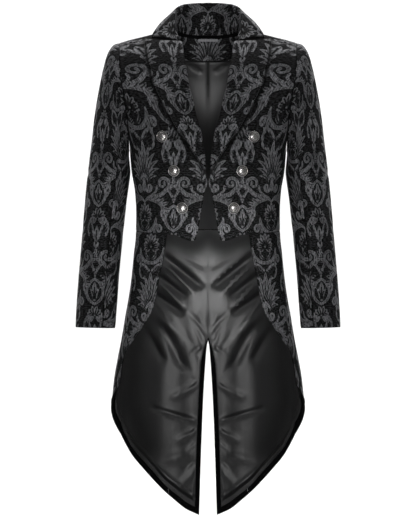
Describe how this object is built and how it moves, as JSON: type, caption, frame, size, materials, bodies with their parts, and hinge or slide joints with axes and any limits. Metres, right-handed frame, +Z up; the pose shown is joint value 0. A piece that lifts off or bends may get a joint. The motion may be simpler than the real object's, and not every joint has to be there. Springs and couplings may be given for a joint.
{
  "type": "gothic tailcoat",
  "caption": "Cut-away tailcoat in damask brocade: tall turned-down collar, wide lapels, two rows of domed buttons, satin-lined swallow tails with a centre vent, filled out as if worn.",
  "frame": {"origin": "between the shoulders, at the height of the shoulder tips, where the wearer's shoulders carry the coat", "axes": "+Z up, +X to the wearer's left, the front faces -Y"},
  "size_m": [0.5824, 0.2605, 1.1336],
  "materials": {
    "brocade": "black damask brocade, satin figure on a crinkled matt ground",
    "satin_lining": "glossy black satin",
    "label_tape": "plain woven tape",
    "button_metal": "aged antique silver, domed, worn bright on top"
  },
  "bodies": {
    "root": {"front_left": "brocade", "side_left": "brocade", "back_left": "brocade", "skirt_left": "brocade", "lapel_left": "brocade", "sleeve_top_left": "brocade", "sleeve_under_left": "brocade", "tail_lining_left": "satin_lining", "button_left_1": "button_metal", "button_left_2": "button_metal", "button_left_3": "button_metal", "front_right": "brocade", "side_right": "brocade", "back_right": "brocade", "skirt_right": "brocade", "lapel_right": "brocade", "sleeve_top_right": "brocade", "sleeve_under_right": "brocade", "tail_lining_right": "satin_lining", "button_right_1": "button_metal", "button_right_2": "button_metal", "button_right_3": "button_metal", "collar": "brocade", "neck_facing": "brocade", "back_lining": "satin_lining", "label": "label_tape"}
  },
  "joints": []
}
